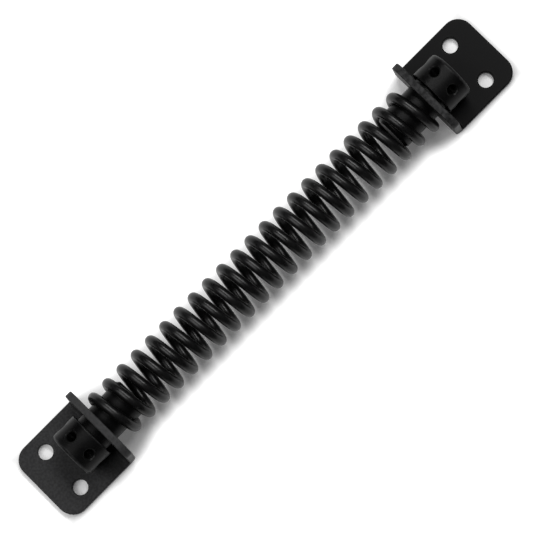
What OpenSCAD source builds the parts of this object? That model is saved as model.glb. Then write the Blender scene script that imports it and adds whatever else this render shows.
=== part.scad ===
// Straight gate spring: an open coil spring screwed onto two swivelling plugs,
// each plug running in the upright flange of a screw-on angle bracket.
// X runs along the spring from post to gate, Z points away from the wood, and the
// origin is the middle of the face that the bracket plates share with the wood.

/* [Overall] */
// Length from one plate end to the other
overall_l = 203; // [185:1:230]
// Height of the spring axis above the back of the plates
axis_h = 12; // [12:0.1:14]

/* [Spring] */
// Outside diameter of the coil
spring_od = 19.3; // [18.6:0.1:20]
// Thickness of the spring wire
wire_d = 3.4; // [2.8:0.1:3.6]
// Number of turns, without the short tails behind the plugs
coil_turns = 21.5; // [16.5:0.5:23.5]
// Part of a turn that each tail of the wire goes on behind its plug
tail_turns = 0.15; // [0.05:0.01:0.25]
// Space between the end of the wire and the flange beside it
coil_end_gap = 0.9; // [0.9:0.1:3]

/* [Plugs] */
// How far the lands between the grooves stand in between the turns
coil_grip = 0.25; // [0.1:0.05:0.6]
// Length of the plug, from its head to its inner end
plug_l = 18; // [13:0.1:26]
// Bevel round the inner end of the plug
plug_tip = 1; // [0.4:0.1:1.5]
// Play all round the wire in its helical groove
groove_clearance = 0.15; // [0.1:0.01:0.25]
// Play all round the shank in the flange
swivel_clearance = 0.1; // [0.05:0.01:0.1]
// Diameter of the head
head_d = 16.8; // [16:0.1:18]
// Length of the head
head_l = 9.8; // [8:0.1:13]
// Rounding of the outer rim of the head
head_round = 1.2; // [0.5:0.1:2]
// Bevel round the inner rim of the head
head_bevel = 0.4; // [0.2:0.1:1]
// Space left between the head and the flange of the post bracket
post_head_gap = 2.2; // [0.8:0.1:4]
// Space left between the head and the flange of the gate bracket
gate_head_gap = 0.8; // [0.8:0.1:4]
// Number of tommy bar holes that go right through the head and cross in its middle
tommy_count = 3; // [1:1:3]
// Diameter of the tommy bar holes
tommy_hole_d = 3.3; // [2.5:0.1:4]
// Countersink round each mouth of the tommy bar holes
tommy_bevel = 0.5; // [0.2:0.1:0.8]
// Angle from the vertical to the first tommy bar hole
tommy_angle = 24; // [0:1:60]

/* [Brackets] */
// Length of a bracket, from its end to the spring side of its flange
bracket_l = 29.2; // [27:0.1:34]
// Width of the sheet
bracket_w = 28; // [24:0.5:34]
// Thickness of the sheet
sheet_t = 2.5; // [1.5:0.1:2.6]
// Height of the flange above the spring axis
flange_top = 10; // [9.8:0.1:14]
// Lean of the flange towards the spring, in degrees
flange_lean = 3; // [0:0.5:4]
// Inside radius of the bend
bend_r = 1.2; // [0.5:0.1:1.3]
// Rounding of the two outer corners of the plate
plate_corner_r = 5.5; // [2:0.1:7]
// Rounding of the two upper corners of the flange
flange_corner_r = 5; // [2:0.1:7]

/* [Screw holes] */
// Diameter of the screw holes
screw_hole_d = 5; // [4:0.1:6]
// Distance between the two screw holes of a bracket
screw_spacing = 16; // [12:0.1:17]
// Distance from the screw holes to the end of the plate
screw_edge = 9.5; // [7:0.1:10]

/* [Hidden] */
$fn = 96;

black_wire = [0.16, 0.16, 0.17];
black_plug = [0.13, 0.13, 0.14];
black_sheet = [0.2, 0.2, 0.21];

// How far a cutting shape runs past the metal that it cuts
overcut = 1;

// Flange: the spring side of it stands at flange_x, measured at the height of the axis
plate_end_x = overall_l / 2;
flange_x = plate_end_x - bracket_l;
flange_h = axis_h + flange_top;
// Head side of the flange at the height of the axis
flange_back_x = flange_x + sheet_t / cos(flange_lean);

// Bend: the sheet turns round the point bend_x, bend_z in a few flat steps
bend_steps = 12;
bend_outer_r = bend_r + sheet_t;
bend_z = sheet_t + bend_r;
bend_x = flange_x + bend_outer_r * cos(flange_lean)
    + (axis_h - bend_z + bend_outer_r * sin(flange_lean)) * tan(flange_lean);
// The fold is drawn a little too long, and is then cut to its height
upright_rise = flange_h / cos(flange_lean);

// Coil: turn 0 is the middle of the spring, and the wire ends at plus and minus wire_turns / 2
coil_r = (spring_od - wire_d) / 2;
wire_turns = coil_turns + 2 * tail_turns;
pitch = 2 * (flange_x - coil_end_gap - wire_d / 2) / wire_turns;
rings_per_turn = 24;
wire_sides = 6;
ring_count = round(wire_turns * rings_per_turn);

// Shank of the plug: as wide as its lands, which reach a little further than the inside of the coil
plug_r = coil_r - wire_d / 2 + coil_grip;

function turn_of(ring) = wire_turns * (ring / ring_count - 1 / 2);
function ring_of(x) = ring_count * (x / pitch / wire_turns + 1 / 2);

// A right-hand helix round the X axis: outward direction, middle of the wire, and its direction
function outward(n) = [0, sin(360 * n), -cos(360 * n)];
function wire_middle(n) = [pitch * n, 0, 0] + coil_r * outward(n);
function wire_direction(n) =
    let (run = [pitch, 2 * PI * coil_r * cos(360 * n), 2 * PI * coil_r * sin(360 * n)])
    run / norm(run);

// Point number side on the rim of the wire at turn n, for a wire of radius r
function wire_rim(n, r, side) =
    let (across = cross(wire_direction(n), outward(n)), angle = 360 * side / wire_sides)
    wire_middle(n) + r * (cos(angle) * outward(n) + sin(angle) * across);

// Least space between a turn and the next ones, from the points along the middle of the wire
function least_gap() = min([
    for (i = [0 : ring_count])
    for (j = [i + rings_per_turn / 2 : i + 2 * rings_per_turn])
    if (j <= ring_count)
    norm(wire_middle(turn_of(i)) - wire_middle(turn_of(j)))
]) - wire_d;

// One unbroken tube of radius r along the helix, from one ring to another
module helix_tube(first_ring, last_ring, r) {
    steps = last_ring - first_ring;
    rim_points = [
        for (ring = [first_ring : last_ring])
        for (side = [0 : wire_sides - 1])
        wire_rim(turn_of(ring), r, side)
    ];
    wall = [
        for (step = [0 : steps - 1])
        for (side = [0 : wire_sides - 1])
        let (
            a = step * wire_sides + side,
            b = step * wire_sides + (side + 1) % wire_sides
        )
        each [[a, a + wire_sides, b], [b, a + wire_sides, b + wire_sides]]
    ];
    far = steps * wire_sides;
    near_cap = [for (side = [1 : wire_sides - 2]) [0, side, side + 1]];
    far_cap = [for (side = [1 : wire_sides - 2]) [far, far + side + 1, far + side]];
    polyhedron(points = rim_points, faces = concat(wall, near_cap, far_cap));
}

module on_axis() { translate([0, 0, axis_h]) children(); }

// Turns a shape drawn along Z so that it lies along the spring, starting at x
module along_spring(x) { on_axis() translate([x, 0, 0]) rotate([0, 90, 0]) children(); }

// The post end is the gate end turned half a turn
module at_post() { rotate([0, 0, 180]) children(); }

module coil_spring() {
    echo(least_gap_of_spring = least_gap());
    color(black_wire) on_axis() helix_tube(0, ring_count, wire_d / 2);
}

// Half outline of a plug: radius to the right, length upwards from the inner end
module plug_outline() {
    head_r = head_d / 2;
    polygon([
        [0, 0], [plug_r - plug_tip, 0], [plug_r, plug_tip],
        [plug_r, plug_l + head_l / 2], [0, plug_l + head_l / 2]
    ]);
    translate([0, plug_l]) {
        polygon([
            [0, 0], [head_r - head_bevel, 0], [head_r, head_bevel],
            [head_r, head_l - head_round], [0, head_l - head_round]
        ]);
        square([head_r - head_round, head_l]);
        translate([head_r - head_round, head_l - head_round]) circle(r = head_round);
    }
}

// Holes that cross in the middle of the head, each with a countersunk mouth at both ends
module tommy_holes(angle) {
    mouth_r = tommy_hole_d / 2 + tommy_bevel;
    // The countersink starts where the mouth meets the round of the head
    mouth_h = sqrt(pow(head_d / 2, 2) - pow(mouth_r, 2));
    for (hole = [0 : tommy_count - 1])
        rotate([angle + 180 * hole / tommy_count, 0, 0]) {
            cylinder(d = tommy_hole_d, h = head_d + 2 * overcut, center = true);
            for (end = [0, 180])
                rotate([end, 0, 0]) {
                    translate([0, 0, mouth_h - tommy_bevel])
                        cylinder(r1 = tommy_hole_d / 2, r2 = mouth_r, h = tommy_bevel);
                    translate([0, 0, mouth_h]) cylinder(r = mouth_r, h = head_d / 2);
                }
        }
}

// Plug at the gate end: grooved for the spring, a shank that swivels, and a head to turn it by
module plug(head_gap, angle) {
    head_x = flange_back_x + head_gap;
    inner_x = head_x - plug_l;
    groove_start = floor(ring_of(inner_x - wire_d));
    color(black_plug) difference() {
        along_spring(inner_x) rotate_extrude() plug_outline();
        on_axis() helix_tube(groove_start, ring_count + 1, wire_d / 2 + groove_clearance);
        on_axis() translate([head_x + head_l / 2, 0, 0]) tommy_holes(angle);
    }
}

module post_plug() { at_post() plug(post_head_gap, tommy_angle); }

module gate_plug() { plug(gate_head_gap, -tommy_angle); }

// Points on an arc round the middle of the bend; angles are measured from X towards Z
function bend_arc(r, from, to) = [
    for (step = [0 : bend_steps])
    let (angle = from + (to - from) * step / bend_steps)
    [bend_x + r * cos(angle), bend_z + r * sin(angle)]
];

// Point of the upright at its full rise, a distance r from the middle of the bend
function upright_end(r) = [bend_x, bend_z]
    + r * [-cos(flange_lean), -sin(flange_lean)]
    + upright_rise * [-sin(flange_lean), cos(flange_lean)];

// Side view of the folded sheet: X to the right, Z upwards
module fold_outline() {
    polygon(concat(
        [[plate_end_x + overcut, 0]],
        bend_arc(bend_outer_r, 270, 180 + flange_lean),
        [upright_end(bend_outer_r), upright_end(bend_r)],
        bend_arc(bend_r, 180 + flange_lean, 270),
        [[plate_end_x + overcut, sheet_t]]
    ));
}

// Strip from the X axis upwards, with two rounded corners at its far end
module rounded_strip(length, width, corner_r) {
    translate([-width / 2, 0]) square([width, length - corner_r]);
    translate([corner_r - width / 2, 0]) square([width - 2 * corner_r, length]);
    for (side = [-1, 1])
        translate([side * (width / 2 - corner_r), length - corner_r]) circle(r = corner_r);
}

// Bracket at the gate end: a folded sheet, cut to its outline as seen from above and from the end
module bracket() {
    color(black_sheet) difference() {
        intersection() {
            translate([0, bracket_w / 2 + overcut, 0]) rotate([90, 0, 0])
                linear_extrude(bracket_w + 2 * overcut) fold_outline();
            rotate(-90) linear_extrude(flange_h)
                rounded_strip(plate_end_x, bracket_w, plate_corner_r);
            rotate([90, 0, 90]) linear_extrude(plate_end_x + overcut)
                rounded_strip(flange_h, bracket_w, flange_corner_r);
        }
        for (side = [-1, 1])
            translate([plate_end_x - screw_edge, side * screw_spacing / 2, -overcut])
                cylinder(d = screw_hole_d, h = sheet_t + 2 * overcut);
        along_spring(flange_x - 2 * overcut)
            cylinder(r = plug_r + swivel_clearance, h = sheet_t + 4 * overcut);
    }
}

module post_bracket() { at_post() bracket(); }

module gate_bracket() { bracket(); }

coil_spring();
post_plug();
gate_plug();
post_bracket();
gate_bracket();
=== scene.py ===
"""Gate spring closer: its finished pieces and a plain studio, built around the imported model.

X runs along the spring from the post to the gate, Z points away from the wood, and Z = 0 is
the face that both plates share with it. All lengths are in metres.
"""

import math

import bmesh
import bpy
import numpy as np
from bpy.props import FloatProperty, FloatVectorProperty, IntProperty, PointerProperty
from mathutils import Matrix, Vector


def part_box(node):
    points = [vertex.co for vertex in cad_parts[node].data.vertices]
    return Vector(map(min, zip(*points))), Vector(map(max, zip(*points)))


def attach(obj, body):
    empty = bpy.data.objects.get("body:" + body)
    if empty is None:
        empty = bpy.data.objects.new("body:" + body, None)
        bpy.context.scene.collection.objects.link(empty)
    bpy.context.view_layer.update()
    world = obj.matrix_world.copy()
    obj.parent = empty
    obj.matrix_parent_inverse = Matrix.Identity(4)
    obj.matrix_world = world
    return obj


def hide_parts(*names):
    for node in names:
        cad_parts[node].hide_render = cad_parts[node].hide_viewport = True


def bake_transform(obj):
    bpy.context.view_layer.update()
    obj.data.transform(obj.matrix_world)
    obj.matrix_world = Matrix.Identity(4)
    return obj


bl_info = {
    "name": "Gate spring closer",
    "version": (1, 0, 0),
    "blender": (4, 5, 0),
    "location": "View3D > Sidebar > Gate spring",
    "description": "Builds the finished pieces of a gate spring closer and a studio for it",
    "category": "Add Mesh",
}

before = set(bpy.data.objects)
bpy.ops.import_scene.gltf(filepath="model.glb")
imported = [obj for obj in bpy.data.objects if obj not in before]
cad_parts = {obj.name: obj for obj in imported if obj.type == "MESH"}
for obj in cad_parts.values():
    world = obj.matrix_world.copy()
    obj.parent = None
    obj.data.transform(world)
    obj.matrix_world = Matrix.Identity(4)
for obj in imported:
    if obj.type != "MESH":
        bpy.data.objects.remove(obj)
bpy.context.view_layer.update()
MM = 0.001

GATE_BRACKET_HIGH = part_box("gate_bracket")[1]
GATE_PLUG_LOW, GATE_PLUG_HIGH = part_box("gate_plug")
POST_PLUG_LOW, POST_PLUG_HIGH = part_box("post_plug")

# Height of the spring axis, radius of the heads, and how far from the middle each plug reaches
AXIS_H = (GATE_PLUG_LOW.z + GATE_PLUG_HIGH.z) / 2
HEAD_R = (GATE_PLUG_HIGH.y - GATE_PLUG_LOW.y) / 2
GATE_REACH = (GATE_PLUG_LOW.x, GATE_PLUG_HIGH.x)
POST_REACH = (-POST_PLUG_HIGH.x, -POST_PLUG_LOW.x)
PLATE_END_X = GATE_BRACKET_HIGH.x
HALF_WIDTH = GATE_BRACKET_HIGH.y
FLANGE_H = GATE_BRACKET_HIGH.z

# The post end is the gate end turned half a turn about Z
AT_GATE = (1, 1, 1)
AT_POST = (-1, -1, 1)

# Points round a plug for each mouth in its head, along the side of the head, and round the wire
MOUTH_COLUMNS = 24
HEAD_ROWS = 14
WIRE_SIDES = 24
WIRE_RINGS_PER_TURN = 64

# From one ring of points to the next along a groove, how near points are joined, and the
# angle from which an edge is sharp
GROOVE_STEP = 0.11 * MM
JOIN_WITHIN = 0.002 * MM
SHARP_ANGLE = math.radians(50)

# How much of an edge's wear the gently rubbed places show. The heads' outer rims take much more, which
# is partly wear and partly a painted highlight.
COIL_RIM = 0.1
MOUTH_RIM = 0.1
HEAD_RIM_WEAR_AND_HIGHLIGHT = 0.7
PLATE_RIM = 0.2

# Depth of the coating's orange peel
PEEL_DEPTH = 0.006 * MM

# Lean of each softbox towards X and Y in degrees, and its size
KEY_LEAN, KEY_SIZE = (23, 17), (0.26, 0.98)
SIDE_LEAN, SIDE_SIZE = (-28, 17), (0.66, 0.84)

# The way to the camera from the middle of the part, and the width of its sensor in millimetres
CAMERA_WAY = (-0.03, -0.135, 1)
SENSOR_WIDTH = 36


def length_property(name, description, size):
    """A length in metres, with its default."""
    return FloatProperty(name=name, description=description, default=size, min=0, unit="LENGTH")


def angle_property(name, description, degrees):
    """An angle, with its default."""
    return FloatProperty(
        name=name, description=description, default=math.radians(degrees), subtype="ANGLE"
    )


def colour_property(name, description, colour):
    """A colour, with its default."""
    return FloatVectorProperty(
        name=name, description=description, default=colour, min=0, max=1, subtype="COLOR"
    )


class CoilSizes(bpy.types.PropertyGroup):
    """Sizes of the coil spring."""

    outer_d: length_property("Coil", "Outside diameter of the coil", 19.3 * MM)
    wire_d: length_property("Wire", "Thickness of the wire", 3.4 * MM)
    turns: FloatProperty(name="Turns", description="Turns from end to end", default=21.8)
    end_gap: length_property("End gap", "From the end of the wire to the flange", 0.9 * MM)
    cut_round: length_property("Cut", "Rounding where the wire is cut", 0.45 * MM)


class PlugSizes(bpy.types.PropertyGroup):
    """Sizes of the two plugs."""

    grip: length_property("Grip", "How far the lands stand in between the turns", 0.25 * MM)
    groove_play: length_property("Groove play", "Play round the wire in its groove", 0.15 * MM)
    groove_round: length_property("Groove edges", "Rounding of the grooves' edges", 0.18 * MM)
    tip_bevel: length_property("Tip", "Bevel of the inner end", 1.0 * MM)
    head_l: length_property("Head", "Length of the head", 9.8 * MM)
    head_round: length_property("Outer rim", "Rounding of the head's outer rim", 1.2 * MM)
    head_bevel: length_property("Inner rim", "Rounding of the head's inner rim", 0.4 * MM)
    holes: IntProperty(name="Tommy holes", description="Holes that cross in the head", default=3)
    hole_d: length_property("Hole width", "Width of the tommy holes", 3.3 * MM)
    hole_bevel: length_property("Countersink", "Countersink of the tommy holes", 0.5 * MM)
    lip_round: length_property("Lip", "Rounding of the countersink's edges", 0.2 * MM)
    hole_angle: angle_property("Hole angle", "From the vertical to the first tommy hole", 24)


class BracketSizes(bpy.types.PropertyGroup):
    """Sizes of the two brackets."""

    length: length_property("Bracket", "From its end to the spring side of its flange", 29.2 * MM)
    sheet_t: length_property("Sheet", "Thickness of the sheet", 2.5 * MM)
    lean: angle_property("Lean", "Lean of the flange towards the spring", 3)
    bend_r: length_property("Bend", "Inside radius of the bend", 1.2 * MM)
    plate_corner: length_property("Plate corners", "Outer corners of the plate", 5.5 * MM)
    flange_corner: length_property("Flange corners", "Upper corners of the flange", 5.0 * MM)
    edge_round: length_property("Edges", "Rounding of the coated edges", 0.4 * MM)
    screw_d: length_property("Screw holes", "Width of the screw holes", 5.0 * MM)
    screw_spacing: length_property("Screw spacing", "Between the two screw holes", 16.0 * MM)
    screw_edge: length_property("Screw place", "From the plate's end to the holes", 9.5 * MM)
    shank_play: length_property("Shank play", "Play round the shank in the flange", 0.2 * MM)


class Finishes(bpy.types.PropertyGroup):
    """Colours of the black finishes."""

    wire: colour_property("Wire", "Black enamel on the wire", (0.0018, 0.0018, 0.0019))
    plug: colour_property("Plugs", "Black enamel on the plugs", (0.0018, 0.0018, 0.0019))
    gate_sheet: colour_property("Gate bracket", "Its powder coating", (0.0022, 0.0022, 0.0023))
    # The post bracket's colour is far paler than the gate bracket's: it paints in the sheen that makes
    # the post plate look paler, not a duller coating.
    post_sheet_painted_sheen: colour_property("Post bracket", "Its duller coating", (0.0320, 0.0320, 0.0328))
    # Pale colour of worn edges, and on the heads' outer rims also a painted highlight.
    thin: colour_property("Edges", "Thin coating over an edge", (0.050, 0.050, 0.051))


class Studio(bpy.types.PropertyGroup):
    """Floor, light and camera."""

    floor: colour_property("Floor", "Pale floor", (0.9, 0.9, 0.9))
    frame_width: length_property("Frame", "Width of the picture at the part", 171.1 * MM)
    lens: FloatProperty(
        name="Lens", description="Focal length", default=230, subtype="DISTANCE_CAMERA"
    )
    key_light: FloatProperty(
        name="Key", description="Brightness of the key softbox, where 1 is white", default=10.5
    )
    side_light: FloatProperty(
        name="Side", description="Brightness of the side softbox, where 1 is white", default=3.4
    )
    room_light: FloatProperty(
        name="Room", description="Brightness of the room, where 1 is white", default=0.03
    )
    floor_glow: FloatProperty(
        name="Floor glow", description="Glow of the floor beside the part", default=0.12
    )


# Points and grids of points


def axis_points(x, angle, r):
    """Points at x along the spring axis and r from it; the angle turns as the coil does."""
    return np.stack(np.broadcast_arrays(x, r * np.sin(angle), AXIS_H - r * np.cos(angle)), -1)


def arc(centre, r, start, end, steps):
    """Points on an arc from one angle to another, in degrees, as rows of two."""
    angle = np.radians(np.linspace(start, end, steps + 1))[:, None]
    return np.array(centre) + r * np.concatenate([np.cos(angle), np.sin(angle)], 1)


def line(start, end, steps):
    """Evenly spaced points from start to end, both included, as rows of two."""
    share = np.linspace(0, 1, steps + 1)[:, None]
    return np.array(start) * (1 - share) + np.array(end) * share


def between(inner, outer, shares):
    """Rows of points from one loop to another: each row goes its share of the way."""
    share = np.array(shares)[:, None, None]
    return inner * (1 - share) + outer * share


# Shares of the way from a hole to the edges round it, closer together near both
PATCH_SHARES = (0, 0.02, 0.06, 0.13, 0.24, 0.4, 0.6, 0.78, 0.9, 0.96, 0.985, 1)


class Skin:
    """Grids of points that are joined into one closed mesh. With each point go rim, which is 1
    on an edge, and unrolled, its place on the straight wire or the flat sheet."""

    def __init__(self):
        self.points, self.quads, self.rim, self.unrolled = [], [], [], []
        self.count = 0

    def grid(self, points, rim=0.0, unrolled=0.0, wrap=False):
        """Adds a grid of points (rows, columns, 3). wrap joins its last column to its first."""
        rows, columns = points.shape[:2]
        row = self.count + np.arange(rows - 1)[:, None] * columns
        column = np.arange(columns if wrap else columns - 1)
        after = (column + 1) % columns
        corners = (row + column, row + after, row + columns + after, row + columns + column)
        self.quads.append(np.stack(corners, -1).reshape(-1, 4))
        self.points.append(points.reshape(-1, 3))
        self.rim.append(np.broadcast_to(rim, (rows, columns)).reshape(-1))
        self.unrolled.append(np.broadcast_to(unrolled, points.shape).reshape(-1, 3))
        self.count += rows * columns

    def piece(self, name, at=AT_GATE):
        """Makes the object: points that meet are joined, and all faces point outwards."""
        mesh = bpy.data.meshes.new(name)
        points = np.concatenate(self.points) * np.array(at)
        mesh.from_pydata(points.tolist(), [], np.concatenate(self.quads).tolist())
        rim = mesh.attributes.new("rim", "FLOAT", "POINT")
        rim.data.foreach_set("value", np.concatenate(self.rim).astype(np.float32))
        unrolled = mesh.attributes.new("unrolled", "FLOAT_VECTOR", "POINT")
        unrolled.data.foreach_set("vector", np.concatenate(self.unrolled).astype(np.float32).ravel())
        work = bmesh.new()
        work.from_mesh(mesh)
        bmesh.ops.remove_doubles(work, verts=work.verts, dist=JOIN_WITHIN)
        bmesh.ops.recalc_face_normals(work, faces=work.faces)
        open_edges = sum(not edge.is_manifold for edge in work.edges)
        work.to_mesh(mesh)
        work.free()
        if open_edges:
            raise RuntimeError(f"{name} isn't closed: {open_edges} edges are open")
        mesh.polygons.foreach_set("use_smooth", np.ones(len(mesh.polygons), bool))
        mesh.set_sharp_from_angle(angle=SHARP_ANGLE)
        piece = bpy.data.objects.new(name, mesh)
        bpy.context.scene.collection.objects.link(piece)
        return piece


def stand_for(piece, node, material):
    """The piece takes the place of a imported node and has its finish."""
    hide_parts(node)
    piece.data.materials.append(material)


# Coil spring


def flange_x():
    """Spring side of the gate flange, at the height of the axis."""
    return PLATE_END_X - bpy.context.scene.closer_bracket.length


def coil_radius():
    """From the spring axis to the middle of the wire."""
    coil = bpy.context.scene.closer_coil
    return (coil.outer_d - coil.wire_d) / 2


def coil_pitch():
    """From one turn to the next."""
    coil = bpy.context.scene.closer_coil
    return 2 * (flange_x() - coil.end_gap - coil.wire_d / 2) / coil.turns


def turn_length():
    """Length of wire in one turn."""
    return math.hypot(coil_pitch(), 2 * math.pi * coil_radius())


def wire_tube(turn, wire_r):
    """Tube along a right-hand helix: at turn n the middle of the wire is n pitches along the
    axis and n turns round it, and the tube has its own radius there, square to the wire."""
    angle = 2 * math.pi * turn
    outward = np.stack([0 * angle, np.sin(angle), -np.cos(angle)], -1)
    run = 2 * math.pi * coil_radius() * np.stack([0 * angle, np.cos(angle), np.sin(angle)], -1)
    run[:, 0] = coil_pitch()
    run /= np.linalg.norm(run, axis=-1, keepdims=True)
    across = np.cross(run, outward)
    side = 2 * math.pi * np.arange(WIRE_SIDES) / WIRE_SIDES
    spoke = np.cos(side)[:, None] * outward[:, None] + np.sin(side)[:, None] * across[:, None]
    middle = axis_points(coil_pitch() * turn, angle, coil_radius())
    return middle[:, None] + wire_r[:, None, None] * spoke, side


def make_coil(name):
    """The wire, wound from end to end and cut square, with a rounded rim at each cut."""
    coil = bpy.context.scene.closer_coil
    half, wire_r, rounding = coil.turns / 2, coil.wire_d / 2, coil.cut_round
    # Along the wire from its cut end, and radius there
    rim = arc((rounding, wire_r - rounding), rounding, 180, 90, 5)
    end = np.concatenate([[(0, 0), (0, wire_r / 2)], rim])
    end_turn = end[:, 0] / turn_length() - half
    steps = round(coil.turns * WIRE_RINGS_PER_TURN)
    inner_turn = np.linspace(end_turn[-1], -end_turn[-1], steps + 1)[1:-1]
    turn = np.concatenate([end_turn, inner_turn, -end_turn[::-1]])
    radius = np.concatenate([end[:, 1], np.full(steps - 1, wire_r), end[::-1, 1]])
    tube, side = wire_tube(turn, radius)
    along = (turn * turn_length())[:, None]
    from_end = coil.turns * turn_length() / 2 - np.abs(along)
    rubbed = COIL_RIM * np.clip(np.cos(side), 0, 1) ** 6
    outward, sideways = wire_r * np.cos(side), wire_r * np.sin(side)
    unrolled = np.stack(np.broadcast_arrays(along, outward, sideways), -1)
    skin = Skin()
    skin.grid(tube, np.maximum(rubbed, np.exp(-from_end / rounding)), unrolled, wrap=True)
    return skin.piece(name)


def follow_both_plugs(piece):
    """Weighs each ring of the wire between the two plugs, moves each point along X to its weighed
    place, bakes the object's transform and puts the points back. A place that is t of the way from
    plug to plug is weighed by 3 t^2 - 2 t^3, so each ring of the wire is weighed at t = 1/2 -
    sin(asin(1 - 2 share) / 3), which gives its share."""
    start_x, end_x = -POST_REACH[0], GATE_REACH[0]
    mesh = piece.data
    points = np.empty((len(mesh.vertices), 3), np.float32)
    mesh.vertices.foreach_get("co", points.ravel())
    unrolled = np.empty_like(points)
    mesh.attributes["unrolled"].data.foreach_get("vector", unrolled.ravel())
    middle_x = unrolled[:, 0] / turn_length() * coil_pitch()
    share = np.clip((middle_x - start_x) / (end_x - start_x), 0, 1)
    t = 0.5 - np.sin(np.arcsin(1 - 2 * share) / 3)
    weighed = points.copy()
    weighed[:, 0] = start_x + (end_x - start_x) * t
    mesh.vertices.foreach_set("co", weighed.ravel())
    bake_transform(piece)
    mesh.vertices.foreach_set("co", points.ravel())
    mesh.update()


# Plugs


def least(a, b, width):
    """The lesser of two values, rounded over within width of where they cross."""
    share = np.clip(0.5 + 0.5 * (b - a) / width, 0, 1)
    return b * (1 - share) + a * share - width * share * (1 - share)


def plug_radius():
    """Radius of a plug's lands and shank."""
    coil, plug = bpy.context.scene.closer_coil, bpy.context.scene.closer_plug
    return coil_radius() - coil.wire_d / 2 + plug.grip


def shank_radius(x, angle, tip_x):
    """Radius of a plug at x and angle: the lands, less a groove round the wire, less the bevel
    of the tip. Past the end of the wire the groove runs out as a ball does."""
    coil, plug = bpy.context.scene.closer_coil, bpy.context.scene.closer_plug
    groove_r = coil.wire_d / 2 + plug.groove_play
    turn = angle / (2 * math.pi)
    turn = turn + np.round(x / coil_pitch() - turn)
    in_wire = np.minimum(turn, coil.turns / 2)
    along = x - coil_pitch() * in_wire
    past_end = 2 * math.pi * plug_radius() * (turn - in_wire)
    inside = np.clip(groove_r**2 - along**2 - past_end**2, 0, None)
    groove = coil_radius() - np.sqrt(inside)
    tip = plug_radius() - plug.tip_bevel + x - tip_x
    return least(least(plug_radius(), groove, plug.groove_round), tip, plug.groove_round)


def turned(profile, angle):
    """Surface of revolution round the spring axis, from rows of x and radius."""
    return axis_points(profile[:, :1], angle, profile[:, 1:])


def rim_of_arc(rows, first, last):
    """Rim values for rows of a profile: 1 in the middle of its arc, which is first to last."""
    place = (np.arange(rows) - first) / (last - first)
    return np.sin(math.pi * np.clip(place, 0, 1))[:, None]


def countersink():
    """Radius and depth from the lip of a crossed hole to its wall: an arc that turns 45 degrees
    down into the cone, and one that turns 45 degrees more into the wall."""
    plug = bpy.context.scene.closer_plug
    hole_r, rounding = plug.hole_d / 2, plug.lip_round
    mouth_r = hole_r + plug.hole_bevel
    run = rounding * math.tan(math.radians(22.5))
    lip = arc((mouth_r + run, rounding), rounding, 270, 225, 3)
    wall = arc((hole_r + rounding, plug.hole_bevel + run), rounding, 225, 180, 3)
    return np.concatenate([lip, wall])


def out_of_axis(hole):
    """Directions along X, across and out through the mouth that is at this angle."""
    across = (0, math.cos(hole), math.sin(hole))
    out = (0, math.sin(hole), -math.cos(hole))
    return np.array([(1, 0, 0), across, out])


def add_head(skin, head_x, first_hole, angle):
    """Head of a plug. Its faces are surfaces of revolution. Its side is shared out between the
    mouths of the holes, each spread out to a rectangle that meets the next ones."""
    plug = bpy.context.scene.closer_plug
    bevel, rounding, mouths = plug.head_bevel, plug.head_round, 2 * plug.holes
    end_x, middle_x = head_x + plug.head_l, head_x + plug.head_l / 2
    low_x, high_x, out_r = head_x + bevel, end_x - rounding, HEAD_R - rounding
    inner = np.concatenate([
        line((head_x, plug_radius()), (head_x, HEAD_R - 1.2 * bevel), 2),
        arc((low_x, HEAD_R - bevel), bevel, 180, 90, 4),
    ])
    outer = np.concatenate([
        arc((high_x, out_r), rounding, 90, 0, 8),
        [(end_x, 0.98 * out_r), (end_x, 0.7 * out_r), (end_x, 0.35 * out_r), (end_x, 0)],
    ])
    skin.grid(turned(inner, angle), rim_of_arc(len(inner), 3, len(inner) - 1), wrap=True)
    # The head's outer rim is painted paler: partly wear, partly a painted highlight.
    skin.grid(turned(outer, angle), HEAD_RIM_WEAR_AND_HIGHLIGHT * rim_of_arc(len(outer), 0, 8), wrap=True)

    # Border and mouth on the side of the head, as if it were unrolled flat round one mouth
    half, low, high = HEAD_R * math.pi / mouths, low_x - middle_x, high_x - middle_x
    border = np.concatenate([
        line((half, low), (half, high), HEAD_ROWS)[:-1],
        line((half, high), (-half, high), MOUTH_COLUMNS)[:-1],
        line((-half, high), (-half, low), HEAD_ROWS)[:-1],
        line((-half, low), (half, low), MOUTH_COLUMNS)[:-1],
    ])
    toward = border / np.linalg.norm(border, axis=1, keepdims=True)
    sink = countersink()
    across, along = sink[:, :1] * toward[:, 0], sink[:, :1] * toward[:, 1]
    height = np.sqrt(HEAD_R**2 - across**2) - sink[:, 1:]
    mouth = np.stack([HEAD_R * np.arcsin(across[0] / HEAD_R), along[0]], -1)
    side = between(mouth, border, PATCH_SHARES)
    # The wall goes in to where the next holes cut it: as far from the middle as their angle asks
    share = np.linspace(0, 1, 8)[:, None]
    inmost = np.abs(across[-1]) / math.tan(math.pi / mouths)
    wall = np.broadcast_arrays(along[-1], across[-1], height[-1] * (1 - share) + inmost * share)
    middle = axis_points(middle_x, 0, 0)
    for hole in first_hole + 2 * math.pi * np.arange(mouths) / mouths:
        ways = out_of_axis(hole)
        round_side = axis_points(middle_x + side[..., 1], hole + side[..., 0] / HEAD_R, HEAD_R)
        skin.grid(round_side, wrap=True)
        skin.grid(middle + np.stack([along, across, height], -1) @ ways, MOUTH_RIM, wrap=True)
        skin.grid(middle + np.stack(wall, -1) @ ways, wrap=True)


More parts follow.
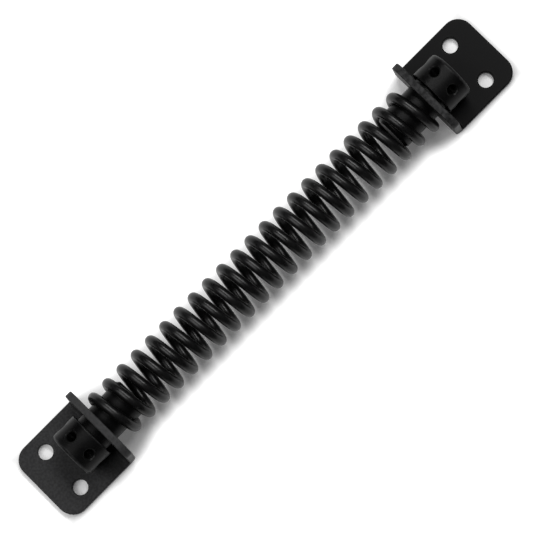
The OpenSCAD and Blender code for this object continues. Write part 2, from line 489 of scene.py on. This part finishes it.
def make_plug(name, at, reach, first_hole):
    """One turned plug: bevelled tip, helical grooves, plain shank, and a head to turn it by."""
    plug, coil = bpy.context.scene.closer_plug, bpy.context.scene.closer_coil
    (tip_x, end_x), mouths = reach, 2 * plug.holes
    head_x, plain_x = end_x - plug.head_l, flange_x() - coil.end_gap / 4
    columns = mouths * MOUTH_COLUMNS
    angle = first_hole + 2 * math.pi * (np.arange(columns) / columns - 1 / (2 * mouths))
    grooved = np.linspace(tip_x, plain_x, round((plain_x - tip_x) / GROOVE_STEP))
    x = np.concatenate([grooved, np.linspace(plain_x, head_x, 9)[1:]])[:, None]
    radius = shank_radius(x, angle, tip_x)
    tip_share = np.array([0, 0.4, 0.75, 0.95, 1])[:, None]
    skin = Skin()
    skin.grid(axis_points(tip_x, angle, tip_share * radius[0]), wrap=True)
    skin.grid(axis_points(x, angle, radius), wrap=True)
    add_head(skin, head_x, first_hole, angle)
    return skin.piece(name, at)


# Brackets


class Fold:
    """Folded sheet. A point of the flat sheet is s from the plate's end, y across it and h
    above the face that lies on the wood."""

    def __init__(self):
        bracket = bpy.context.scene.closer_bracket
        self.sheet_t, self.lean = bracket.sheet_t, bracket.lean
        self.outer_r = bracket.bend_r + bracket.sheet_t
        self.middle_r = bracket.bend_r + bracket.sheet_t / 2
        rise = AXIS_H - self.outer_r + self.outer_r * math.sin(self.lean)
        self.bend_x = flange_x() + self.outer_r * math.cos(self.lean) + rise * math.tan(self.lean)
        self.plate_l = PLATE_END_X - self.bend_x
        self.flange_s = self.plate_l + self.middle_r * (math.pi / 2 - self.lean)

    def at_height(self, z):
        """Place s where the middle of the upright sheet is at height z."""
        rise = z - self.outer_r + self.middle_r * math.sin(self.lean)
        return self.flange_s + rise / math.cos(self.lean)

    def place(self, s, y, h):
        """Flat up to the bend, round it at the radius that h leaves, then straight on up."""
        plate = np.clip(self.plate_l - s, 0, None)
        turn = np.clip((s - self.plate_l) / self.middle_r, 0, math.pi / 2 - self.lean)
        upright = np.clip(s - self.flange_s, 0, None)
        r = self.outer_r - h
        x = self.bend_x + plate - r * np.sin(turn) - upright * np.cos(turn)
        z = self.outer_r - r * np.cos(turn) + upright * np.sin(turn)
        return np.stack(np.broadcast_arrays(x, y, z), -1)


def straight_edge(start, end, normal, steps):
    """Rows of place and outward normal along a straight edge, without its end."""
    points = line(start, end, steps)[:-1]
    return np.concatenate([points, np.broadcast_to(normal, points.shape)], 1)


def round_corner(centre, r, start, end, steps):
    """Rows of place and outward normal round a corner, without its end."""
    places, normals = arc(centre, r, start, end, steps), arc((0, 0), 1, start, end, steps)
    return np.concatenate([places, normals], 1)[:-1]


def mirrored(rows):
    """The same rows on the other side of the middle line, in the opposite order."""
    return rows[::-1] * np.tile([1, -1], rows.shape[1] // 2)


def make_bracket(name, at):
    """One folded bracket. Each face is spread from its holes out to the outline, and a strip
    with two rounded edges closes the outline and each hole."""
    bracket = bpy.context.scene.closer_bracket
    fold = Fold()
    width, edge, sheet_t = HALF_WIDTH, bracket.edge_round, bracket.sheet_t
    corner, upper = bracket.plate_corner, bracket.flange_corner
    plate_s, flange_s, top_s = fold.plate_l, fold.flange_s, fold.at_height(FLANGE_H)
    screw_r, screw_y = bracket.screw_d / 2, bracket.screw_spacing / 2
    shank_r, shank_s = plug_radius() + bracket.shank_play, fold.at_height(AXIS_H)
    half_columns = 20

    # Half outline, from the middle of the plate's end to the middle of the flange's top
    plate_edge = np.concatenate([
        straight_edge((0, 0), (0, width - corner), (-1, 0), 12),
        round_corner((corner, width - corner), corner, 180, 90, 16),
        straight_edge((corner, width), (plate_s, width), (0, 1), 20),
    ])
    bend_edge = straight_edge((plate_s, width), (flange_s, width), (0, 1), 14)
    flange_edge = np.concatenate([
        straight_edge((flange_s, width), (top_s - upper, width), (0, 1), 16),
        round_corner((top_s - upper, width - upper), upper, 90, 0, 16),
        straight_edge((top_s, width - upper), (top_s, 0), (1, 0), 12),
        [(top_s, 0, 1, 0)],
    ])
    half = np.concatenate([plate_edge, bend_edge, flange_edge])
    outline = np.concatenate([half, mirrored(half)[1:-1]])

    def drawn_in(rows):
        """The outline's points, drawn in to where the flat face ends."""
        return rows[:, :2] - edge * rows[:, 2:]

    def edge_distance(s, y):
        """How far a point of the flat sheet is from the outline or a hole, near them."""
        y = np.abs(y)
        plate = np.hypot(np.clip(corner - s, 0, None), np.clip(y - width + corner, 0, None))
        flange = np.hypot(np.clip(s - top_s + upper, 0, None), np.clip(y - width + upper, 0, None))
        screw = np.hypot(s - bracket.screw_edge, y - screw_y) - screw_r
        shank = np.hypot(s - shank_s, y) - shank_r
        return np.minimum.reduce([corner - plate, upper - flange, screw, shank])

    def add(skin, flat, h, wrap=True):
        """Adds a grid of points of the flat sheet, folded to their place."""
        s, y = flat[..., 0], flat[..., 1]
        near_edge = np.exp(-np.clip(edge_distance(s, y), 0, None) / edge)
        rim = near_edge * np.where(s > flange_s, 1, PLATE_RIM)
        unrolled = np.stack(np.broadcast_arrays(s, y, h), -1)
        skin.grid(fold.place(s, y, h), rim, unrolled, wrap)

    inner_width = width - edge
    plate_loop = np.concatenate([
        drawn_in(np.concatenate([plate_edge, bend_edge[:1]])),
        line((plate_s, inner_width), (plate_s, 0), half_columns)[1:],
        line((plate_s, 0), (edge, 0), 28)[1:-1],
    ])
    flange_half = drawn_in(flange_edge)
    flange_loop = np.concatenate([
        flange_half,
        mirrored(flange_half)[1:],
        line((flange_s, -inner_width), (flange_s, inner_width), 2 * half_columns)[1:-1],
    ])
    holes = [
        (plate_loop, (bracket.screw_edge, screw_y), screw_r),
        (mirrored(plate_loop), (bracket.screw_edge, -screw_y), screw_r),
        (flange_loop, (shank_s, 0), shank_r),
    ]
    # Offset outwards and height, from one face over both rounded edges to the other face
    profile = np.concatenate([
        arc((-edge, edge), edge, 270, 360, 5), arc((-edge, sheet_t - edge), edge, 0, 90, 5)
    ])
    offset, height = profile[:, :1], profile[:, 1:]
    bend_s = np.append(bend_edge[:, 0], flange_s)
    bend_y = np.linspace(-inner_width, inner_width, 2 * half_columns + 1)
    bend = np.stack(np.meshgrid(bend_s, bend_y, indexing="ij"), -1)
    skin = Skin()
    for h in (0.0, sheet_t):
        add(skin, bend, h, wrap=False)
        for loop, centre, r in holes:
            toward = (loop - centre) / np.linalg.norm(loop - centre, axis=1, keepdims=True)
            add(skin, between(centre + (r + edge) * toward, loop, PATCH_SHARES), h)
    for loop, centre, r in holes:
        toward = (loop - centre) / np.linalg.norm(loop - centre, axis=1, keepdims=True)
        add(skin, centre + (r - offset[..., None]) * toward, height)
    add(skin, outline[:, :2] + offset[..., None] * outline[:, 2:], height)
    return skin.piece(name, at)


# Finishes


class Wiring:
    """Adds nodes to one node tree and links them."""

    def __init__(self, tree):
        self.tree = tree

    def node(self, kind, inputs, **settings):
        """Adds a node. Each input gets a value or another node's output."""
        node = self.tree.nodes.new(kind)
        for name, value in settings.items():
            setattr(node, name, value)
        for name, value in inputs.items():
            self.feed(node.inputs[name], value)
        return node

    def feed(self, socket, value):
        """Gives one input a value or another node's output."""
        if isinstance(value, bpy.types.NodeSocket):
            self.tree.links.new(value, socket)
        else:
            socket.default_value = value

    def maths(self, operation, *values):
        """Result of a Math node."""
        node = self.node("ShaderNodeMath", dict(enumerate(values)), operation=operation)
        return node.outputs["Value"]

    def spread(self, value, low, high, to_low, to_high, way="LINEAR"):
        """A value carried from one range to another, and kept inside it."""
        limits = {"From Min": low, "From Max": high, "To Min": to_low, "To Max": to_high}
        node = self.node("ShaderNodeMapRange", {"Value": value, **limits}, interpolation_type=way)
        return node.outputs["Result"]

    def noise(self, place, scale, detail=2.0):
        """Noise with scale marks a metre."""
        inputs = {"Vector": place, "Scale": scale, "Detail": detail}
        return self.node("ShaderNodeTexNoise", inputs).outputs["Fac"]

    def mix(self, share, first, second):
        """A colour that goes from the first to the second."""
        inputs = {"Factor": share, "A": first, "B": second}
        node = self.tree.nodes.new("ShaderNodeMix")
        node.data_type = "RGBA"
        for name, value in inputs.items():
            self.feed(next(x for x in node.inputs if x.name == name and x.enabled), value)
        return next(x for x in node.outputs if x.enabled)


def new_group(name, inputs, outputs):
    """An empty node group with named sockets, and the wiring, inputs and outputs of it."""
    tree = bpy.data.node_groups.new(name, "ShaderNodeTree")
    for socket, kind in inputs.items():
        tree.interface.new_socket(name=socket, in_out="INPUT", socket_type=kind)
    for socket, kind in outputs.items():
        tree.interface.new_socket(name=socket, in_out="OUTPUT", socket_type=kind)
    wiring = Wiring(tree)
    given = wiring.node("NodeGroupInput", {}).outputs
    return tree, wiring, given


def coating_group():
    """Black coating: a fine orange peel that also mottles its colour, cloudy patches that are
    a little paler and duller, specks of dust, and edges where the coating is thin."""
    tree, wiring, given = new_group(
        "coating",
        {
            "Place": "NodeSocketVector", "Rim": "NodeSocketFloat", "Colour": "NodeSocketColor",
            "Thin": "NodeSocketColor", "Roughness": "NodeSocketFloat", "Grain": "NodeSocketFloat",
            "Wear": "NodeSocketFloat",
        },
        {"Colour": "NodeSocketColor", "Roughness": "NodeSocketFloat", "Height": "NodeSocketFloat"},
    )
    place = given["Place"]
    cloud_size, dust_size, chip_size = 7 * MM, 0.5 * MM, 1.3 * MM
    peel = wiring.noise(place, wiring.maths("DIVIDE", 1.0, given["Grain"]), 1.0)
    clouds = wiring.noise(place, 1 / cloud_size, 3.0)
    cloudy = wiring.spread(clouds, 0.3, 0.7, 0.0, 0.05)
    dusty = wiring.spread(wiring.noise(place, 1 / dust_size, 1.0), 0.70, 0.80, 0.0, 0.2)
    chipped = wiring.spread(wiring.noise(place, 1 / chip_size, 3.0), 0.35, 0.65, 0.25, 1.0)
    worn = wiring.maths("MULTIPLY", wiring.maths("MULTIPLY", given["Rim"], chipped), given["Wear"])
    pale = wiring.maths("ADD", wiring.maths("ADD", cloudy, dusty), worn)
    mottling = {0: given["Colour"], "Scale": wiring.spread(peel, 0.35, 0.65, 0.8, 1.2)}
    mottled = wiring.node("ShaderNodeVectorMath", mottling, operation="SCALE").outputs["Vector"]
    colour = wiring.mix(wiring.maths("MINIMUM", pale, 1.0), mottled, given["Thin"])
    rough = wiring.maths("ADD", given["Roughness"], wiring.spread(clouds, 0.3, 0.7, -0.04, 0.04))
    rough = wiring.maths("ADD", rough, wiring.spread(peel, 0.3, 0.7, -0.03, 0.03))
    rough = wiring.maths("ADD", rough, dusty)
    wiring.node("NodeGroupOutput", {"Colour": colour, "Roughness": rough, "Height": peel})
    return tree


def drawn_group():
    """Faint lengthwise lines that drawing leaves on wire, on its unrolled places."""
    tree, wiring, given = new_group(
        "drawn wire", {"Unrolled": "NodeSocketVector"}, {"Height": "NodeSocketFloat"}
    )
    lengthwise, line_gap = 0.03, 0.35 * MM
    drawn_out = {"Vector": given["Unrolled"], "Scale": (lengthwise, 1, 1)}
    stretched = wiring.node("ShaderNodeMapping", drawn_out).outputs["Vector"]
    wiring.node("NodeGroupOutput", {"Height": wiring.noise(stretched, 1 / line_gap)})
    return tree


def turned_group():
    """Faint rings that a lathe leaves: noise on the place along the axis and the distance
    from it, so that it runs round the side and round the faces alike."""
    tree, wiring, given = new_group(
        "turned rings", {"Place": "NodeSocketVector"}, {"Height": "NodeSocketFloat"}
    )
    lowered = {"Vector": given["Place"], "Location": (0, 0, -AXIS_H)}
    centred = wiring.node("ShaderNodeMapping", lowered).outputs["Vector"]
    parts = wiring.node("ShaderNodeSeparateXYZ", {"Vector": centred}).outputs
    across = wiring.node("ShaderNodeCombineXYZ", {"Y": parts["Y"], "Z": parts["Z"]}).outputs["Vector"]
    r = wiring.node("ShaderNodeVectorMath", {0: across}, operation="LENGTH").outputs["Value"]
    ring = wiring.node("ShaderNodeCombineXYZ", {"X": parts["X"], "Y": r}).outputs["Vector"]
    ring_gap = 0.3 * MM
    wiring.node("NodeGroupOutput", {"Height": wiring.noise(ring, 1 / ring_gap)})
    return tree


def coated(name, colour, roughness, gloss, grain, wear, unrolled, relief=None, relief_depth=0.0):
    """A material with the black coating, over an optional relief of the metal under it. gloss
    is its Specular IOR Level, and grain is the size of its orange peel."""
    material = bpy.data.materials.new(name)
    material.use_nodes = True
    tree = material.node_tree
    tree.nodes.clear()
    wiring = Wiring(tree)
    if unrolled:
        place = wiring.node("ShaderNodeAttribute", {}, attribute_name="unrolled").outputs["Vector"]
    else:
        place = wiring.node("ShaderNodeTexCoord", {}).outputs["Object"]
    rim = wiring.node("ShaderNodeAttribute", {}, attribute_name="rim").outputs["Fac"]
    thin = bpy.context.scene.closer_finish.thin
    inputs = {
        "Place": place, "Rim": rim, "Colour": (*colour, 1), "Thin": (*thin, 1),
        "Roughness": roughness, "Grain": grain, "Wear": wear,
    }
    coating = bpy.data.node_groups.get("coating") or coating_group()
    coat = wiring.node("ShaderNodeGroup", inputs, node_tree=coating).outputs
    peel = {"Height": coat["Height"], "Distance": PEEL_DEPTH}
    if relief:
        relief_name, make_relief = relief
        group = bpy.data.node_groups.get(relief_name) or make_relief()
        metal = wiring.node("ShaderNodeGroup", {0: place}, node_tree=group).outputs["Height"]
        under = wiring.node("ShaderNodeBump", {"Height": metal, "Distance": relief_depth})
        peel["Normal"] = under.outputs["Normal"]
    bump = wiring.node("ShaderNodeBump", peel).outputs["Normal"]
    surface = wiring.node(
        "ShaderNodeBsdfPrincipled",
        {
            "Base Color": coat["Colour"], "Roughness": coat["Roughness"],
            "Normal": bump, "Specular IOR Level": gloss,
        },
    )
    wiring.node("ShaderNodeOutputMaterial", {"Surface": surface.outputs["BSDF"]})
    return material


def wire_enamel():
    """Satin black enamel on drawn wire."""
    return coated(
        "wire_enamel", bpy.context.scene.closer_finish.wire,
        roughness=0.31, gloss=0.32, grain=0.5 * MM, wear=0.5, unrolled=True,
        relief=("drawn wire", drawn_group), relief_depth=0.0015 * MM,
    )


def plug_enamel():
    """Satin black enamel on turned metal."""
    return coated(
        "plug_enamel", bpy.context.scene.closer_finish.plug,
        roughness=0.35, gloss=0.11, grain=0.5 * MM, wear=0.6, unrolled=False,
        relief=("turned rings", turned_group), relief_depth=0.004 * MM,
    )


def sheet_coating(name, colour, grain):
    """Black powder coating on pressed sheet."""
    return coated(name, colour, roughness=0.40, gloss=0.06, grain=grain, wear=0.8, unrolled=False)


def dress_node(node, material):
    """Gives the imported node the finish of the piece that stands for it."""
    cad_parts[node].data.materials.clear()
    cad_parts[node].data.materials.append(material)


# Studio


def floor_material():
    """Pale floor that keeps the shadows. It glows by a set amount for the eye and in what
    shines, and for the eye up to full white a little way off the spring and the plates."""
    studio = bpy.context.scene.closer_studio
    material = bpy.data.materials.new("pale_floor")
    material.use_nodes = True
    tree = material.node_tree
    tree.nodes.clear()
    wiring = Wiring(tree)
    path = wiring.node("ShaderNodeLightPath", {}).outputs
    shining = wiring.maths("MAXIMUM", path["Is Glossy Ray"], path["Is Transmission Ray"])
    in_shine = wiring.maths("MULTIPLY", shining, studio.floor_glow)
    place = wiring.node("ShaderNodeTexCoord", {}).outputs["Object"]
    parts = wiring.node("ShaderNodeSeparateXYZ", {"Vector": place}).outputs
    along, across = (wiring.maths("ABSOLUTE", parts[axis]) for axis in "XY")
    # Distance from the middle line, with the spring counted as wide as the plates
    narrower = HALF_WIDTH - bpy.context.scene.closer_coil.outer_d / 2
    widens_from, widens_to = flange_x() - 10 * MM, flange_x() + 4 * MM
    beside_coil = wiring.spread(along, widens_from, widens_to, narrower, 0.0)
    past_end = wiring.maths("SUBTRACT", along, PLATE_END_X - HALF_WIDTH)
    away = wiring.maths("MAXIMUM", wiring.maths("ADD", across, beside_coil), past_end)
    grey_to, white_from = HALF_WIDTH - 1 * MM, HALF_WIDTH + 6 * MM
    glow = wiring.spread(away, grey_to, white_from, studio.floor_glow, 1.0, "SMOOTHSTEP")
    seen = wiring.maths("MULTIPLY", glow, path["Is Camera Ray"])
    lit = wiring.node("ShaderNodeBsdfDiffuse", {"Color": (*studio.floor, 1)}).outputs["BSDF"]
    light = wiring.node("ShaderNodeEmission", {"Strength": wiring.maths("ADD", seen, in_shine)})
    both = wiring.node("ShaderNodeAddShader", {0: lit, 1: light.outputs["Emission"]}).outputs["Shader"]
    # From below the floor isn't there
    behind = wiring.node("ShaderNodeNewGeometry", {}).outputs["Backfacing"]
    clear = wiring.node("ShaderNodeBsdfTransparent", {}).outputs["BSDF"]
    shown = wiring.node("ShaderNodeMixShader", {0: behind, 1: both, 2: clear}).outputs["Shader"]
    wiring.node("ShaderNodeOutputMaterial", {"Surface": shown})
    return material


def make_floor():
    """Flat round floor just under the plates: rings and spokes, from the middle outwards."""
    spokes, drop = 64, 0.05 * MM
    r = np.array([0, 0.2, 0.6, 2, 6, 20])[:, None]
    angle = 2 * math.pi * np.arange(spokes) / spokes
    x, y = r * np.cos(angle), r * np.sin(angle)
    points = np.stack([x, y, np.full_like(x, -drop)], -1)
    mesh = bpy.data.meshes.new("floor")
    row, column = np.arange(len(r) - 1)[:, None] * spokes, np.arange(spokes)
    next_row, after = row + spokes, (column + 1) % spokes
    quads = np.stack([row + column, next_row + column, next_row + after, row + after], -1)
    mesh.from_pydata(points.reshape(-1, 3).tolist(), [], quads.reshape(-1, 4).tolist())
    mesh.materials.append(floor_material())
    floor = bpy.data.objects.new("floor", mesh)
    bpy.context.scene.collection.objects.link(floor)


def looking(eye, target, up):
    """Places a camera or lamp at eye, looking at target, with up at the top of its view."""
    back = (eye - target).normalized()
    right = up.cross(back).normalized()
    turn = Matrix((right, back.cross(right), back)).transposed()
    return Matrix.Translation(eye) @ turn.to_4x4()


def make_world():
    """White for the eye, and a dim room for what it lights."""
    world = bpy.data.worlds.new("studio")
    world.use_nodes = True
    tree = world.node_tree
    tree.nodes.clear()
    wiring = Wiring(tree)
    seen = wiring.node("ShaderNodeLightPath", {}).outputs["Is Camera Ray"]
    strength = wiring.spread(seen, 0, 1, bpy.context.scene.closer_studio.room_light, 1)
    background = wiring.node("ShaderNodeBackground", {"Color": (1, 1, 1, 1), "Strength": strength})
    wiring.node("ShaderNodeOutputWorld", {"Surface": background.outputs["Background"]})
    bpy.context.scene.world = world


def make_softbox(name, lean, size, brightness):
    """Rectangular softbox a metre above the part and aimed at it. lean is in degrees towards X
    and Y, and brightness 1 is as bright as white in full light."""
    eye = (*(math.tan(math.radians(degrees)) for degrees in lean), 1)
    lamp = bpy.data.lights.new(name, "AREA")
    lamp.shape = "RECTANGLE"
    lamp.size, lamp.size_y = size
    lamp.energy = brightness * math.pi * size[0] * size[1]
    softbox = bpy.data.objects.new(name, lamp)
    bpy.context.scene.collection.objects.link(softbox)
    softbox.matrix_world = looking(Vector(eye), Vector((0, 0, 0)), Vector((0, 1, 0)))


def make_camera():
    """Long lens from almost straight above, with the spring on the picture's diagonal."""
    studio = bpy.context.scene.closer_studio
    camera = bpy.data.objects.new("camera", bpy.data.cameras.new("camera"))
    bpy.context.scene.collection.objects.link(camera)
    camera.data.lens = studio.lens
    camera.data.sensor_width = SENSOR_WIDTH
    camera.data.clip_start, camera.data.clip_end = 0.1, 100
    distance = studio.frame_width * studio.lens / SENSOR_WIDTH
    eye = Vector(CAMERA_WAY).normalized() * distance
    camera.matrix_world = looking(eye, Vector((0, 0, 0)), Vector((1, 1, 0)))
    bpy.context.scene.camera = camera


class CLOSER_OT_coil(bpy.types.Operator):
    """Wind the coil spring that joins the two plugs"""

    bl_idname = "closer.coil"
    bl_label = "Coil spring"

    def execute(self, context):
        piece = make_coil("wound_wire")
        material = wire_enamel()
        stand_for(piece, "coil_spring", material)
        dress_node("coil_spring", material)
        follow_both_plugs(piece)
        return {"FINISHED"}


class CLOSER_OT_plugs(bpy.types.Operator):
    """Turn the two grooved plugs with their heads"""

    bl_idname = "closer.plugs"
    bl_label = "Plugs"

    def execute(self, context):
        material = plug_enamel()
        angle = context.scene.closer_plug.hole_angle
        ends = (
            ("post_plug", AT_POST, POST_REACH, math.pi + angle),
            ("gate_plug", AT_GATE, GATE_REACH, math.pi - angle),
        )
        for node, at, reach, first_hole in ends:
            piece = make_plug(f"{node}_turned", at, reach, first_hole)
            stand_for(piece, node, material)
            dress_node(node, material)
            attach(piece, node)
        return {"FINISHED"}


class CLOSER_OT_brackets(bpy.types.Operator):
    """Fold the two screw-on angle brackets"""

    bl_idname = "closer.brackets"
    bl_label = "Brackets"

    def execute(self, context):
        finishes = context.scene.closer_finish
        ends = (
            # The post bracket's paler colour is painted sheen.
            ("post_bracket", AT_POST, finishes.post_sheet_painted_sheen, 0.8 * MM),
            ("gate_bracket", AT_GATE, finishes.gate_sheet, 0.35 * MM),
        )
        for node, at, colour, grain in ends:
            material = sheet_coating(f"{node}_coating", colour, grain)
            piece = make_bracket(f"{node}_sheet", at)
            stand_for(piece, node, material)
            dress_node(node, material)
            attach(piece, node)
        return {"FINISHED"}


class CLOSER_OT_studio(bpy.types.Operator):
    """Lay the floor, light it and set up the camera"""

    bl_idname = "closer.studio"
    bl_label = "Studio"

    def execute(self, context):
        context.scene.view_settings.view_transform = "Standard"
        studio = context.scene.closer_studio
        make_floor()
        make_world()
        make_softbox("key", KEY_LEAN, KEY_SIZE, studio.key_light)
        make_softbox("side", SIDE_LEAN, SIDE_SIZE, studio.side_light)
        make_camera()
        return {"FINISHED"}


class CLOSER_PT_panel(bpy.types.Panel):
    """Lists the pieces and their sizes."""

    bl_idname = "CLOSER_PT_panel"
    bl_label = "Gate spring closer"
    bl_space_type = "VIEW_3D"
    bl_region_type = "UI"
    bl_category = "Gate spring"

    def draw(self, context):
        for operator in OPERATORS:
            self.layout.operator(operator.bl_idname)
        for name in GROUPS:
            box = self.layout.box()
            group = getattr(context.scene, name)
            for size in group.bl_rna.properties.keys()[1:]:
                box.prop(group, size)


GROUPS = {
    "closer_coil": CoilSizes,
    "closer_plug": PlugSizes,
    "closer_bracket": BracketSizes,
    "closer_finish": Finishes,
    "closer_studio": Studio,
}
OPERATORS = (CLOSER_OT_coil, CLOSER_OT_plugs, CLOSER_OT_brackets, CLOSER_OT_studio)


def register():
    """Adds the sizes, the operators and the panel."""
    for name, group in GROUPS.items():
        bpy.utils.register_class(group)
        setattr(bpy.types.Scene, name, PointerProperty(type=group))
    for operator in (*OPERATORS, CLOSER_PT_panel):
        bpy.utils.register_class(operator)


def unregister():
    """Takes them away again."""
    for operator in (CLOSER_PT_panel, *reversed(OPERATORS)):
        bpy.utils.unregister_class(operator)
    for name, group in reversed(GROUPS.items()):
        delattr(bpy.types.Scene, name)
        bpy.utils.unregister_class(group)


def main():
    """Makes everything."""
    register()
    bpy.ops.closer.studio()
    bpy.ops.closer.coil()
    bpy.ops.closer.plugs()
    bpy.ops.closer.brackets()


if __name__ == "__main__":
    main()
